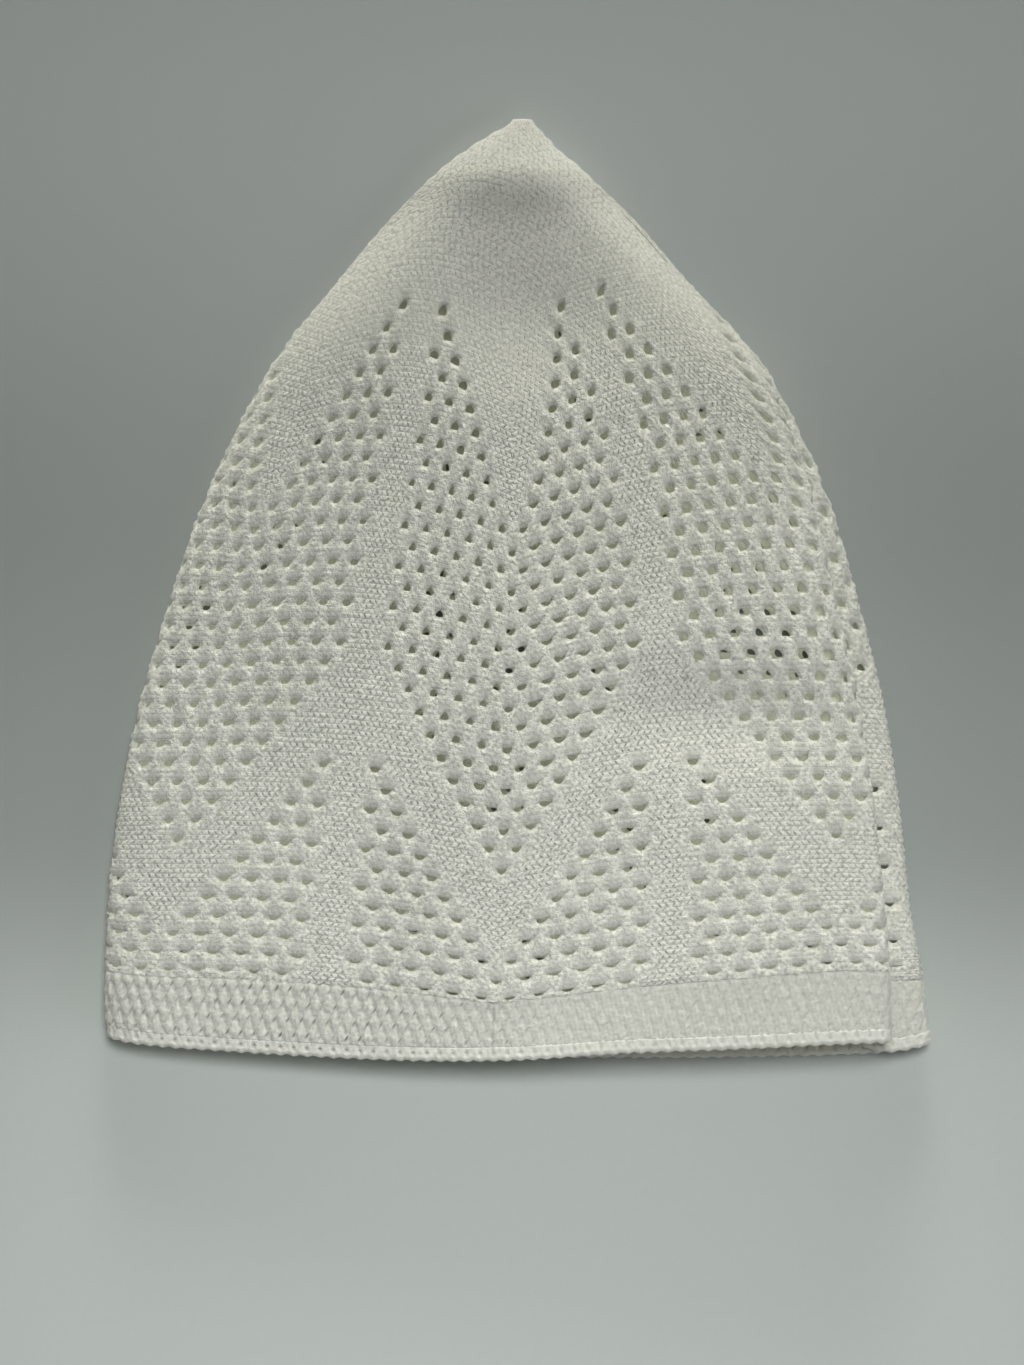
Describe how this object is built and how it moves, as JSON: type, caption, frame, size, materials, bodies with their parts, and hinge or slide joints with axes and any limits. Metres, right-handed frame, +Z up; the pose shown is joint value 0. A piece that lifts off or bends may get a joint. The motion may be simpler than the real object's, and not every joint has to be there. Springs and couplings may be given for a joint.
{
  "type": "prayer cap",
  "caption": "Pointed knitted prayer cap with an eyelet lace pattern, a thicker ribbed band and a chain-stitch rim, folded flat into a front and a back layer.",
  "frame": {"origin": "centre of the cap's outline, on the surface that its back layer lies on", "axes": "+Y from the rim to the point, +Z up from the back layer to the front layer, +X to the right with the front layer up and the point away from the viewer"},
  "size_m": [0.2362, 0.2695, 0.0268],
  "materials": {
    "knit_lace": "matt white lace knit",
    "knit_band": "matt white slanted rib knit",
    "chain_edge": "matt white chain stitch"
  },
  "bodies": {
    "root": {"knit_crown": "knit_lace", "knit_band": "knit_band", "chain_edge": "chain_edge"}
  },
  "joints": []
}
